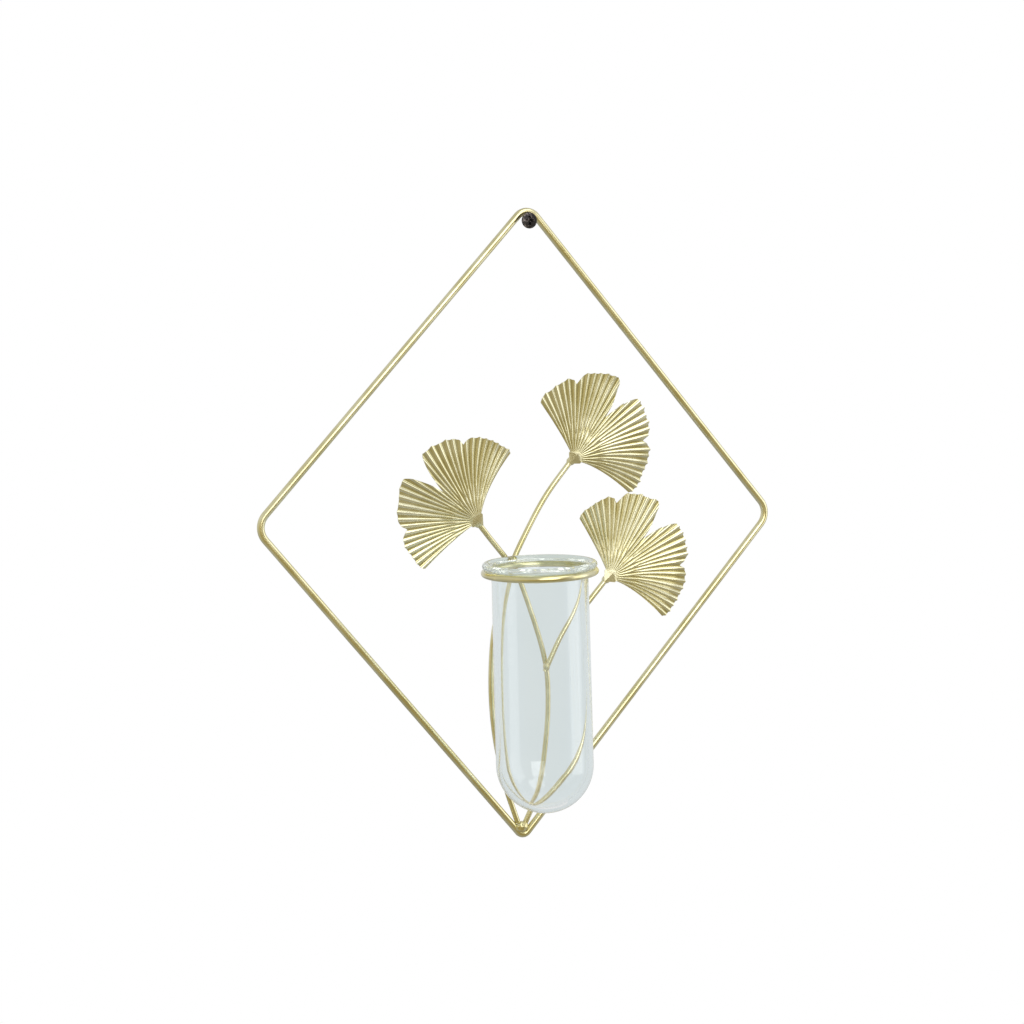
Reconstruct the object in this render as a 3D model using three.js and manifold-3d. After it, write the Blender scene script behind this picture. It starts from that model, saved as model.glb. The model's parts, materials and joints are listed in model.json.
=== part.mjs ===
// Hanging wall vase: a diamond of bent wire that hangs on one screw, with three wire stems
// growing from its bottom corner. The stems carry three pleated ginkgo leaves and a ring,
// and a round-bottomed glass tube hangs by its rim in the ring and lifts out.
// Millimetres. X runs right along the wall, Y into the wall, Z up. The origin is where the
// screw's axis meets the wall.
import * as THREE from 'three';
import { mergeVertices } from 'three/addons/utils/BufferGeometryUtils.js';
import Module from 'manifold-3d';

const wasm = await Module();
wasm.setup();

// Clearance between pieces that touch on the real vase
const SEAT_GAP = 0.3;

// Diamond frame: sizes between the corners as they would be before the wire is rounded
const FRAME_WIDTH = 292;
const FRAME_HEIGHT = 339;
const SIDE_CORNER_DROP = 166;
const FRAME_WIRE = 4;
const TOP_BEND = 7;
const SIDE_BEND = 10;
const BOTTOM_BEND = 3.5;

// Hanging screw, a countersunk wood screw with a cross recess
const SCREW_SHANK = 4;
const SCREW_HEAD = 8.2;
const SCREW_HEAD_CONE = 2.2;
const SCREW_HEAD_EDGE = 0.7;
const SCREW_IN_WALL = 26;
const SCREW_POINT = 6;
const RECESS_WIDTH = 4.4;
const RECESS_SLOT = 1.1;
const RECESS_DEPTH = 1.5;

// Stems: the crossing is placed from the frame's bottom corner, the branch and the leaves'
// seats from the crossing, and a bow is the furthest that a stem swings out below the ring
const STEM_WIRE = 3;
const TOP_STEM_FOOT = -3.8;
const LEFT_STEM_FOOT = 0.5;
const CROSSING_X = -8.6;
const RING_HEIGHT = 149.5;
const TOP_STEM_BOW = -19.4;
const LEFT_STEM_BOW = 14.2;
const BRANCH_X = 21.2;
const BRANCH_DROP = 55;
const TOP_LEAF_X = 35.2;
const TOP_LEAF_UP = 56.6;
const LEFT_LEAF_X = -19.2;
const LEFT_LEAF_UP = 24.2;
const RIGHT_LEAF_X = 56.2;
const RIGHT_LEAF_DROP = 8;

// Ring and glass tube
const RING_WIRE = 3.5;
const RING_X = -4.8;
const RING_CLEARANCE = 2;
const HOLDER_LEAN = THREE.MathUtils.degToRad(2);
const TUBE_NECK = 50;
const TUBE_BELLY = 51;
const TUBE_WALL = 2.2;
const TUBE_FLOOR = 2.4;
const TUBE_LENGTH = 132.5;
const RIM_BEAD = 4;
const RIM_OVERHANG = 1;
const MOUTH_FLARE = 1.6;

// Ginkgo leaf, one stamping used three times
const LEAF_REACH = 48.8;
const LEAF_TIP_REACH = 37.6;
const LOBE_STEP = 1.1;
const LEAF_FAN = THREE.MathUtils.degToRad(157);
const LEAF_SHOULDER = THREE.MathUtils.degToRad(12);
const LEAF_SHEET = 0.5;
const LEAF_CUP = 1.2;
const PLEATS = 32;
const PLEAT_DEPTH = 1.3;
const SCALLOP = 1;
const TAB_WIDTH = 8.8;
const TAB_TAIL = 4.6;
const TAB_NOSE = 3;
const TAB_EDGE = 1;
const NOTCH_DEPTH = 22.4;
const NOTCH_SPREAD = THREE.MathUtils.degToRad(10);
const NICK_DEPTH = 4;
const NICK_SPREAD = THREE.MathUtils.degToRad(6);
const NOTCH_CURVE = 1.3;
const LEAF_WELD = 2.4;

// Facets
const FRAME_SIDES = 12;
const STEM_SIDES = 10;
const RING_SIDES = 12;
const RING_STEPS = 48;
const LATHE_STEPS = 36;
const BEND_STEPS = 4;
const STEM_STEP = 7;
const LEAF_ROWS = 5;

// Places that follow from the sizes
const frameRadius = FRAME_WIRE / 2;
const stemRadius = STEM_WIRE / 2;
const ringRadius = RING_WIRE / 2;
const framePlane = -frameRadius;
const halfWidth = FRAME_WIDTH / 2;
const topHalfAngle = Math.atan2(halfWidth, SIDE_CORNER_DROP);
const bottomHalfAngle = Math.atan2(halfWidth, FRAME_HEIGHT - SIDE_CORNER_DROP);
const bendSetback = TOP_BEND * (1 / Math.sin(topHalfAngle) - 1);
const topCorner = SCREW_SHANK / 2 + SEAT_GAP + frameRadius + bendSetback;
const sideCorner = topCorner - SIDE_CORNER_DROP;
const bottomCorner = topCorner - FRAME_HEIGHT;

// Solids for joining and cutting
function solidOf(geometry) {
  const bare = geometry.clone();
  bare.deleteAttribute('normal');
  bare.deleteAttribute('uv');
  const merged = mergeVertices(bare, 1e-4);
  return new wasm.Manifold(new wasm.Mesh({
    numProp: 3,
    vertProperties: new Float32Array(merged.attributes.position.array),
    triVerts: new Uint32Array(merged.index.array),
  }));
}

function cut(geometry, cutters) {
  let solid = solidOf(geometry);
  for (const cutter of cutters) {
    solid = solid.subtract(solidOf(cutter));
  }
  const mesh = solid.getMesh();
  return indexed(Array.from(mesh.vertProperties), Array.from(mesh.triVerts));
}

function indexed(positions, indices) {
  const geometry = new THREE.BufferGeometry();
  geometry.setAttribute('position', new THREE.Float32BufferAttribute(positions, 3));
  geometry.setIndex(indices);
  geometry.computeVertexNormals();
  return geometry;
}

// Round wire
function wireSection(radius, sides) {
  const section = new THREE.Shape();
  section.absarc(0, 0, radius, 0, 2 * Math.PI, false);
  return new THREE.Shape(section.getPoints(sides / 2).slice(0, sides));
}

function wire(curve, radius) {
  const steps = Math.ceil(curve.getLength() / STEM_STEP);
  return new THREE.ExtrudeGeometry(wireSection(radius, STEM_SIDES), { steps, extrudePath: curve });
}

// A bend at one corner of the frame, swept clockwise as seen from the room
function addBend(path, corner, before, after, radius) {
  const inward = before.clone().sub(corner).normalize();
  const outward = after.clone().sub(corner).normalize();
  const halfAngle = inward.angleTo(outward) / 2;
  const centre = inward.clone().add(outward).normalize();
  centre.multiplyScalar(radius / Math.sin(halfAngle)).add(corner);
  const start = inward.multiplyScalar(radius / Math.tan(halfAngle)).add(corner).sub(centre);
  const end = outward.multiplyScalar(radius / Math.tan(halfAngle)).add(corner).sub(centre);
  path.absarc(centre.x, centre.y, radius, start.angle(), end.angle(), true);
}

// The diamond as a closed loop of wire, with flats on its back and front
function diamondLoop(radius) {
  const top = new THREE.Vector2(0, topCorner);
  const right = new THREE.Vector2(halfWidth, sideCorner);
  const bottom = new THREE.Vector2(0, bottomCorner);
  const left = new THREE.Vector2(-halfWidth, sideCorner);
  const path = new THREE.Path();
  addBend(path, top, left, right, TOP_BEND);
  addBend(path, right, top, bottom, SIDE_BEND);
  addBend(path, bottom, right, left, BOTTOM_BEND);
  addBend(path, left, bottom, top, SIDE_BEND);
  const centreline = path.getPoints(BEND_STEPS);
  const count = centreline.length;
  const cornerRadius = radius / Math.cos(Math.PI / FRAME_SIDES);
  const positions = [];
  const indices = [];
  for (let i = 0; i < count; i += 1) {
    const here = centreline[i];
    const along = centreline[(i + 1) % count].clone().sub(centreline[(i + count - 1) % count]).normalize();
    for (let k = 0; k < FRAME_SIDES; k += 1) {
      const angle = 2 * Math.PI * (k + 0.5) / FRAME_SIDES;
      const side = cornerRadius * Math.cos(angle);
      const depth = cornerRadius * Math.sin(angle);
      positions.push(here.x - along.y * side, framePlane + depth, here.y + along.x * side);
      const a = i * FRAME_SIDES + k;
      const b = i * FRAME_SIDES + (k + 1) % FRAME_SIDES;
      const c = ((i + 1) % count) * FRAME_SIDES + k;
      const d = ((i + 1) % count) * FRAME_SIDES + (k + 1) % FRAME_SIDES;
      indices.push(a, c, b, b, c, d);
    }
  }
  return indexed(positions, indices);
}

// Stem routes: across and up are from the frame's bottom corner or from the crossing, and lift
// is how far a stem stands off the frame's plane, in stem diameters
const liftStep = STEM_WIRE + SEAT_GAP;
const footStand = frameRadius + SEAT_GAP + stemRadius;

function stemPoint(across, up, lift) {
  return new THREE.Vector3(across, framePlane - lift * liftStep, bottomCorner + up);
}

// A stem's foot stands on the inner side of an arm, close above the bottom corner
function stemFoot(across) {
  const slant = Math.abs(across) * Math.cos(bottomHalfAngle);
  return stemPoint(across, (footStand + slant) / Math.sin(bottomHalfAngle), 0);
}

function fromCrossing(across, up, lift) {
  return stemPoint(CROSSING_X + across, RING_HEIGHT + up, lift);
}

const topStemRoute = new THREE.CatmullRomCurve3([
  stemFoot(TOP_STEM_FOOT),
  stemPoint(TOP_STEM_BOW * 0.53, RING_HEIGHT * 0.195, 0.1),
  stemPoint(TOP_STEM_BOW * 0.89, RING_HEIGHT * 0.405, 0.35),
  stemPoint(TOP_STEM_BOW, RING_HEIGHT * 0.62, 0.6),
  stemPoint(TOP_STEM_BOW * 0.86, RING_HEIGHT * 0.82, 0.85),
  fromCrossing(0, 0, 1),
  fromCrossing(TOP_LEAF_X * 0.224, TOP_LEAF_UP * 0.293, 1),
  fromCrossing(TOP_LEAF_X * 0.548, TOP_LEAF_UP * 0.64, 0.9),
  fromCrossing(TOP_LEAF_X, TOP_LEAF_UP, 0.8),
]);

const leftStemRoute = new THREE.CatmullRomCurve3([
  stemFoot(LEFT_STEM_FOOT),
  stemPoint(LEFT_STEM_BOW * 0.556, RING_HEIGHT * 0.157, 0),
  stemPoint(LEFT_STEM_BOW * 0.908, RING_HEIGHT * 0.356, 0),
  stemPoint(LEFT_STEM_BOW, RING_HEIGHT * 0.5, 0),
  fromCrossing(BRANCH_X, -BRANCH_DROP, 0),
  fromCrossing(BRANCH_X * 0.547, -BRANCH_DROP * 0.462, 0),
  fromCrossing(0, 0, 0),
  fromCrossing(LEFT_LEAF_X * 0.52, LEFT_LEAF_UP * 0.525, 0),
  fromCrossing(LEFT_LEAF_X, LEFT_LEAF_UP, 0),
]);

// The right leaf's stem starts a little below the branch, flat on the stem that carries it
const branch = fromCrossing(BRANCH_X, -BRANCH_DROP, 1);
const rightLeafSeat = fromCrossing(RIGHT_LEAF_X, -RIGHT_LEAF_DROP, 1);
const rightReach = rightLeafSeat.clone().sub(branch);

function fromBranch(acrossShare, upShare) {
  return new THREE.Vector3(rightReach.x * acrossShare, 0, rightReach.z * upShare).add(branch);
}

const rightStemRoute = new THREE.CatmullRomCurve3([
  fromBranch(-0.023, -0.034),
  fromBranch(0.229, 0.309),
  fromBranch(0.523, 0.585),
  rightLeafSeat,
]);

// Ring: its back leans on the front of the top leaf's stem where the stems cross
const ringCentre = TUBE_NECK / 2 + RING_CLEARANCE + ringRadius;
const ringReach = ringCentre + ringRadius;
const stemFront = framePlane - liftStep - stemRadius;
const ringY = stemFront - SEAT_GAP - Math.sqrt(ringReach ** 2 - (CROSSING_X - RING_X) ** 2);
const holderPlace = new THREE.Vector3(RING_X, ringY, bottomCorner + RING_HEIGHT);

function ring(radius) {
  return new THREE.TorusGeometry(ringCentre, radius, RING_SIDES, RING_STEPS);
}

// Glass tube, turned about its own axis, with its bead resting on the ring's crown
const beadRadius = RIM_BEAD / 2;
const beadCentre = ringCentre + RIM_OVERHANG - beadRadius;
const beadHeight = Math.sqrt((ringRadius + beadRadius + SEAT_GAP) ** 2 - (ringCentre - beadCentre) ** 2);

function glassProfile() {
  const neck = TUBE_NECK / 2;
  const belly = TUBE_BELLY / 2;
  const bore = neck - TUBE_WALL;
  const bottom = beadHeight + beadRadius - TUBE_LENGTH;
  const shoulder = -ringRadius - RING_CLEARANCE;
  const profile = new THREE.Path();
  profile.moveTo(0, bottom);
  profile.absarc(0, bottom + belly, belly, -Math.PI / 2, 0, false);
  profile.lineTo(neck, shoulder);
  profile.quadraticCurveTo(neck, 0, beadCentre - beadRadius * 0.7, beadHeight - beadRadius * 0.7);
  profile.absarc(beadCentre, beadHeight, beadRadius, -2.2, 2.2, false);
  profile.quadraticCurveTo(bore + MOUTH_FLARE, beadHeight, bore, shoulder);
  profile.lineTo(belly - TUBE_WALL, bottom + belly);
  profile.absellipse(0, bottom + belly, belly - TUBE_WALL, belly - TUBE_FLOOR, 0, -Math.PI / 2, true);
  const points = profile.getPoints(BEND_STEPS);
  points[points.length - 1].x = 0;
  return points;
}

function glassTube() {
  const turned = new THREE.LatheGeometry(glassProfile(), LATHE_STEPS);
  return turned.rotateX(Math.PI / 2);
}

// Leaf: columns run out along the pleats, alternately on a groove and on a ridge
const COLUMNS = 2 * PLEATS;

// How far the sheet reaches: past the deep notch the second lobe is shorter and blunter
function leafReach(turn, { notches, trim }) {
  const away = Math.max(Math.abs(turn) - LEAF_SHOULDER, 0) / (LEAF_FAN / 2 - LEAF_SHOULDER);
  const step = turn > 0 ? LOBE_STEP : 0;
  let reach = THREE.MathUtils.lerp(LEAF_REACH - trim - step, LEAF_TIP_REACH + step, away);
  notches.forEach((pleat, i) => {
    const deep = i === 1;
    const centre = LEAF_FAN * (pleat / PLEATS - 0.5);
    const spread = deep ? NOTCH_SPREAD : NICK_SPREAD;
    const depth = deep ? NOTCH_DEPTH : NICK_DEPTH;
    reach -= depth * Math.max(1 - Math.abs(turn - centre) / spread, 0) ** NOTCH_CURVE;
  });
  return reach;
}

// A point of the leaf's middle sheet: column across the fan, row from the tail to the edge
function leafPoint(column, row, trimming) {
  const across = column / PLEATS - 1;
  const turn = across * LEAF_FAN / 2;
  const tabSide = across * TAB_WIDTH / 2;
  const slope = 1 - Math.abs(across);
  if (row === 0) {
    return new THREE.Vector3(tabSide, 0, -TAB_EDGE / 2 - (TAB_TAIL - TAB_EDGE / 2) * slope);
  }
  const ridge = column % 2 === 1;
  const reach = leafReach(turn, trimming) + (ridge ? SCALLOP / 2 : -SCALLOP / 2);
  const root = new THREE.Vector2(tabSide, TAB_EDGE / 2 + (TAB_NOSE - TAB_EDGE / 2) * slope);
  const edge = new THREE.Vector2(Math.sin(turn), Math.cos(turn)).multiplyScalar(reach);
  const splay = new THREE.Vector2(Math.sin(turn * 0.8), Math.cos(turn * 0.8));
  const bow = splay.multiplyScalar(root.distanceTo(edge) * 0.4).add(root);
  const share = (row - 1) / LEAF_ROWS;
  const spot = new THREE.QuadraticBezierCurve(root, bow, edge).getPoint(share);
  const pleat = (ridge ? -0.5 : 0.5) * PLEAT_DEPTH * Math.min(share * 3, 1);
  const cup = LEAF_CUP * (spot.length() / LEAF_REACH) ** 2;
  return new THREE.Vector3(spot.x, pleat - cup, spot.y);
}

function leaf(trimming) {
  const rows = LEAF_ROWS + 2;
  const columns = COLUMNS + 1;
  const skin = rows * columns;
  const positions = [];
  for (const depth of [-LEAF_SHEET, 0]) {
    for (let row = 0; row < rows; row += 1) {
      for (let column = 0; column < columns; column += 1) {
        const point = leafPoint(column, row, trimming);
        positions.push(point.x, point.y + depth - stemRadius - SEAT_GAP, point.z);
      }
    }
  }
  const indices = [];
  const quad = (a, b, c, d) => indices.push(a, b, c, a, c, d);
  const at = (column, row) => row * columns + column;
  for (let row = 0; row < rows - 1; row += 1) {
    for (let column = 0; column < COLUMNS; column += 1) {
      const around = [at(column, row), at(column + 1, row), at(column + 1, row + 1), at(column, row + 1)];
      quad(...around);
      quad(...around.map((vertex) => vertex + skin).reverse());
    }
  }
  const rim = [];
  for (let column = 0; column < COLUMNS; column += 1) rim.push(at(column, 0));
  for (let row = 0; row < rows - 1; row += 1) rim.push(at(COLUMNS, row));
  for (let column = COLUMNS; column > 0; column -= 1) rim.push(at(column, rows - 1));
  for (let row = rows - 1; row > 0; row -= 1) rim.push(at(0, row));
  rim.forEach((vertex, i) => {
    const next = rim[(i + 1) % rim.length];
    quad(vertex, vertex + skin, next + skin, next);
  });
  return indexed(positions, indices);
}

// Screw, turned about Y from its head in the room to its point in the wall
function screw() {
  const shank = SCREW_SHANK / 2;
  const headBack = -FRAME_WIRE - SEAT_GAP;
  const headFront = headBack - SCREW_HEAD_CONE - SCREW_HEAD_EDGE;
  const profile = [
    new THREE.Vector2(0, headFront),
    new THREE.Vector2(SCREW_HEAD / 2, headFront),
    new THREE.Vector2(SCREW_HEAD / 2, headFront + SCREW_HEAD_EDGE),
    new THREE.Vector2(shank, headBack),
    new THREE.Vector2(shank, SCREW_IN_WALL - SCREW_POINT),
    new THREE.Vector2(0, SCREW_IN_WALL),
  ];
  const body = new THREE.LatheGeometry(profile, LATHE_STEPS);
  const slots = [[RECESS_WIDTH, RECESS_SLOT], [RECESS_SLOT, RECESS_WIDTH]].map(([wide, tall]) => {
    return new THREE.BoxGeometry(wide, 2 * RECESS_DEPTH, tall).translate(0, headFront, 0);
  });
  return cut(body, slots);
}

// A weld bead: a lump of filler cut clear of the pieces that it joins
function bead(centre, size, neighbours) {
  const lump = new THREE.SphereGeometry(1, 14, 10);
  lump.scale(size.x, size.y, size.z).translate(centre.x, centre.y, centre.z);
  return cut(lump, neighbours);
}

// Finishes
function goldPaint() {
  return new THREE.MeshStandardMaterial({ color: 0xc0af7c, roughness: 0.36, metalness: 0.85 });
}

function clearGlass() {
  return new THREE.MeshStandardMaterial({
    color: 0xdde6e8, roughness: 0.04, metalness: 0, transparent: true, opacity: 0.4,
  });
}

function blackSteel() {
  return new THREE.MeshStandardMaterial({ color: 0x1d1c1b, roughness: 0.5, metalness: 0.6 });
}

function addPiece(parent, name, geometry, material) {
  const mesh = new THREE.Mesh(geometry, material);
  mesh.name = name;
  parent.add(mesh);
  return mesh;
}

const vase = new THREE.Group();

addPiece(vase, 'hanging_screw', screw(), blackSteel());
addPiece(vase, 'diamond_frame', diamondLoop(frameRadius), goldPaint());

const stems = { top: topStemRoute, left: leftStemRoute, right: rightStemRoute };
for (const [side, route] of Object.entries(stems)) {
  addPiece(vase, `stem_${side}`, wire(route, stemRadius), goldPaint());
}

// The room that a stem and its two ends take, with the clearance round it
function clearOf(route) {
  const radius = stemRadius + SEAT_GAP;
  const ends = [0, 1].map((share) => {
    const place = route.getPoint(share);
    return new THREE.SphereGeometry(radius, STEM_SIDES, STEM_SIDES).translate(...place);
  });
  return [wire(route, radius), ...ends];
}

// Ring and tube share one leaning axis
const holder = new THREE.Group();
holder.position.copy(holderPlace);
holder.rotation.y = -HOLDER_LEAN;
vase.add(holder);
addPiece(holder, 'holder_ring', ring(ringRadius), goldPaint());
addPiece(holder, 'glass_tube', glassTube(), clearGlass());

// Leaves stand on the ends of their stems: the turn from upright, the roll about the stem, the
// pleats after which the sheet is notched, the deep notch in the middle, and how much is
// trimmed off its lobes
const leaves = {
  top: { turn: 44.2, roll: -2, notches: [7, 15, 23], trim: 0 },
  left: { turn: -51, roll: 4, notches: [7, 16, 24], trim: 1.4 },
  right: { turn: 49.5, roll: -5, notches: [7, 15, 23], trim: 0 },
};
for (const [side, { turn, roll, ...trimming }] of Object.entries(leaves)) {
  const seat = new THREE.Group();
  seat.position.copy(stems[side].getPoint(1));
  seat.rotation.set(0, THREE.MathUtils.degToRad(turn), THREE.MathUtils.degToRad(roll));
  vase.add(seat);
  addPiece(seat, `leaf_${side}`, leaf(trimming), goldPaint());

  // Solder collar on the stem, behind the leaf's tab and just short of the stem's end
  const route = stems[side];
  seat.updateMatrixWorld();
  const tabRoom = new THREE.BoxGeometry(4 * TAB_WIDTH, TAB_WIDTH, 4 * TAB_WIDTH);
  tabRoom.translate(0, -stemRadius - TAB_WIDTH / 2, 0).applyMatrix4(seat.matrixWorld);
  const collar = bead(
    route.getPoint(1).addScaledVector(route.getTangent(1), -LEAF_WELD - SEAT_GAP),
    new THREE.Vector3(LEAF_WELD, LEAF_WELD, LEAF_WELD),
    [wire(route, stemRadius + SEAT_GAP), tabRoom],
  );
  addPiece(vase, `leaf_${side}_weld`, collar, goldPaint());
}

// Weld at the bottom corner, in front of the frame and the two stem feet
const cornerBead = bead(
  stemPoint((TOP_STEM_FOOT + LEFT_STEM_FOOT) / 2, FRAME_WIRE * 1.75, 0.45),
  new THREE.Vector3(0.95, 0.6, 1).multiplyScalar(FRAME_WIRE),
  [diamondLoop(frameRadius + SEAT_GAP), ...clearOf(topStemRoute), ...clearOf(leftStemRoute)],
);
addPiece(vase, 'corner_weld', cornerBead, goldPaint());

// Weld that closes the branch of the right leaf's stem onto the left leaf's stem
const branchBead = bead(
  fromBranch(-0.017, -0.026).setY(framePlane - 0.75 * liftStep),
  new THREE.Vector3(0.97, 1.07, 1.13).multiplyScalar(STEM_WIRE),
  [...clearOf(leftStemRoute), ...clearOf(rightStemRoute)],
);
addPiece(vase, 'branch_weld', branchBead, goldPaint());

// Weld behind the ring, where both long stems cross
holder.updateMatrixWorld();
const placedRing = ring(ringRadius + SEAT_GAP).applyMatrix4(holder.matrixWorld);
const ringBead = bead(
  fromCrossing(0, -STEM_WIRE / 2, 1.05),
  new THREE.Vector3(1.33, 1.2, 1.07).multiplyScalar(STEM_WIRE),
  [...clearOf(topStemRoute), ...clearOf(leftStemRoute), placedRing],
);
addPiece(vase, 'ring_weld', ringBead, goldPaint());

export default vase;
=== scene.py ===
"""Looks of a hanging wall vase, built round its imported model.

A diamond of bent wire hangs on one screw. Three wire stems grow from its bottom corner and
carry three pleated ginkgo leaves and a ring, and a round-bottomed glass tube hangs by its rim
in the ring. Everything is in metres and in the model's own frame: X runs right along the wall,
Y into the wall and Z up, and the origin is where the screw's axis meets the wall.
"""
import json
import math

import bmesh
import bpy
import numpy as np
from mathutils import Matrix, Vector, noise


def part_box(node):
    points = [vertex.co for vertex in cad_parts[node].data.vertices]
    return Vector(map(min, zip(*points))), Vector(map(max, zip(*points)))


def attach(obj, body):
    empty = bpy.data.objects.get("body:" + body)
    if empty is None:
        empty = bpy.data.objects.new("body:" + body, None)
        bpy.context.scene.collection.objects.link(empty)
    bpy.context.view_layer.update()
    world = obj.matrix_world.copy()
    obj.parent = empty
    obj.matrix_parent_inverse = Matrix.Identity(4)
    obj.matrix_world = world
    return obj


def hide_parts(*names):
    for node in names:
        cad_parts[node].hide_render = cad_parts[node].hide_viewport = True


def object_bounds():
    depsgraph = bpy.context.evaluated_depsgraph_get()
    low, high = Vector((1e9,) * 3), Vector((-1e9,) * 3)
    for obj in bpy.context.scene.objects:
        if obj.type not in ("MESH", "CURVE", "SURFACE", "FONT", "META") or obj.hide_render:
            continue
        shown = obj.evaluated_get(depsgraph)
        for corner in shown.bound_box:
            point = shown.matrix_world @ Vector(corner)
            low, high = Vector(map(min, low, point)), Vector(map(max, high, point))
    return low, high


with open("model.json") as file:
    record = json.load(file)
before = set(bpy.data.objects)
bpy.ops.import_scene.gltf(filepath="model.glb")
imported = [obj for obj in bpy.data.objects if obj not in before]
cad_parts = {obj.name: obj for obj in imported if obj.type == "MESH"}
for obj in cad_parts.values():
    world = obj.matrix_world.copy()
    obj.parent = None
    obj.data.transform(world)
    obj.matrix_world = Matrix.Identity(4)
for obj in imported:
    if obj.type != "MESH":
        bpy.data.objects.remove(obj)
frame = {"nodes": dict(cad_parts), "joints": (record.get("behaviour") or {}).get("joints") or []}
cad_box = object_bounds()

MM = 0.001

# Camera of the photograph, with its focal length in pixels of a square image
CAMERA_PLACE = Vector((-342.1, -921.7, -59.4)) * MM
CAMERA_YAW = math.radians(20)
CAMERA_TILT = math.radians(5.512)
CAMERA_ROLL = math.radians(0.302)
FOCAL_PIXELS = 1849.9
IMAGE_PIXELS = 1024
SENSOR_WIDTH = 36

# Diamond frame: corners before the wire is rounded, and the bends' radii
FRAME_WIRE = 4 * MM
FRAME_WIDTH = 292 * MM
FRAME_HEIGHT = 339 * MM
SIDE_CORNER_DROP = 166 * MM
TOP_BEND = 7 * MM
SIDE_BEND = 10 * MM
BOTTOM_BEND = 3.5 * MM
BEND_STEPS = 20

# Round wire: steps round it and between its points, and the angle above which an edge is sharp
WIRE_ROUNDNESS = 8
WIRE_STEPS = 8
WIRE_SHARPNESS = 40

# Stems, ring and welds, and the least height between the sections that a stem is swept from
STEM_WIRE = 3 * MM
STEM_SECTION_GAP = 1.2 * MM
FOOT_TUCK = 2 * MM
RING_WIRE = 3.5 * MM
RING_STEPS = 120
BRANCH_BEAD = Vector((4.2, 5.2, 4.4)) * MM
BRANCH_BEAD_SHIFT = Vector((0, -0.1, 1)) * MM
CORNER_WELD_SHIFT = Vector((0.3, 0, -0.8)) * MM
CORNER_WELD_FLATNESS = 0.8
RING_WELD_DROP = Vector((0, 0, 1.5)) * MM
RING_WELD_SHARE = Vector((0.75, 0.92, 0.75))
SOLDER_SHIFT = Vector((0, -0.4, 0)) * MM
WELD_RIPPLE = 0.1
SOLDER_RIPPLE = 0.12
RIPPLES_ROUND = 2.3
RIPPLES_PER_METRE = 900
RIPPLE_MIDDLE = 0.3
WELD_FINENESS = 5

# Glass tube: the rim's bead meets the wall at the lip's angle, in radians
TUBE_NECK = 50 * MM
TUBE_BELLY = 51 * MM
TUBE_WALL = 2.2 * MM
TUBE_FLOOR = 2.4 * MM
TUBE_LENGTH = 132 * MM
RIM_BEAD = 3.4 * MM
RIM_OVERHANG = 1 * MM
RIM_TINT_START = 0.4
LIP_ANGLE = 2.2
MOUTH_FLARE = 1.6 * MM
NECK_EASE = 0.25
SEAT_GAP = 0.3 * MM
TUBE_SEGMENTS = 160
BOTTOM_STEPS = 40
WALL_STEPS = 24
LIP_STEPS = 16
BEAD_STEPS = 32

# Light has to find its way out of the rim and down the tube's wall
GLASS_BOUNCES = 256

# Ginkgo leaf
LEAF_REACH = 48.8 * MM
LEAF_TIP_REACH = 37.6 * MM
TIP_STEP = 1.1 * MM
LEAF_FAN = math.radians(157)
LEAF_SHOULDER = math.radians(12)
LEFT_SPLAY = 0.92
RIGHT_SPLAY = 0.8
LEAF_SHEET = 0.5 * MM
LEAF_CUP = 2.2 * MM
LEAF_SHARPNESS = 55
EDGE_ROLL_START = 0.86
EDGE_ROLL_BLEND = 0.15
VEIN_BOW = 0.4
PLEATS = 32
RIB_SHARE = 0.62
RIB_START = 0.1 * MM
RIB_STEEPNESS = 0.175
RIB_LEAST = 0.7
RIB_WANDER = 0.1
RIB_FADE_IN = 6
FORK_START = 0.2
FORK_END = 0.5
SPECKS = 16
SPECK_HEIGHT = 0.3 * MM
VALLEY_DEPTH = 0.2 * MM
VALLEY_FADE_IN = 3
SCALLOP = 0.45 * MM
RAGGED_EDGE = 0.7 * MM
TIP_ROUNDING = 1 * MM
TIP_CORNER = 0.07
TAB_WIDTH = 8.8 * MM
TAB_TAIL = 4.6 * MM
TAB_NOSE = 4 * MM
TAB_EDGE = 1 * MM
TAB_CROWN = 0.2 * MM
NOTCH_DEPTH = 22.4 * MM
NOTCH_SPREAD = math.radians(10)
NICK_DEPTH = 4 * MM
NICK_SPREAD = math.radians(6)
NOTCH_CURVE = 1.3
PLEAT_COLUMNS = 12
LEAF_ROWS = 40
TAB_ROWS = 6

# Each leaf where its stem ends. In degrees: how far it is turned in the wall's plane, rolled about
# its own axis and nodded forward. Then the pleats after which it is notched, and the seed of its
# wrinkles. In millimetres: how much is trimmed off its lobes, how much more off those on its
# right, how far its outer tips are drawn out, and how far the edges of its left and right halves
# are rolled back
LEAVES = {
    "top": {
        "turn": 43.4,
        "roll": 0.5,
        "nod": 1.5,
        "notches": (7, 15, 23),
        "seed": 3,
        "cut": (-0.4, 2.2, -0.5),
        "rolled": (-0.2, 0.6),
    },
    "left": {
        "turn": -51,
        "roll": 4,
        "nod": 3,
        "notches": (7, 16, 24),
        "seed": 5,
        "cut": (1.3, -0.2, 1.9),
        "rolled": (0.1, -0.3),
    },
    "right": {
        "turn": 49.5,
        "roll": -5,
        "nod": 0,
        "notches": (7, 15, 23),
        "seed": 8,
        "cut": (-0.4, 1.8, 0),
        "rolled": (0, 0.6),
    },
}

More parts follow.
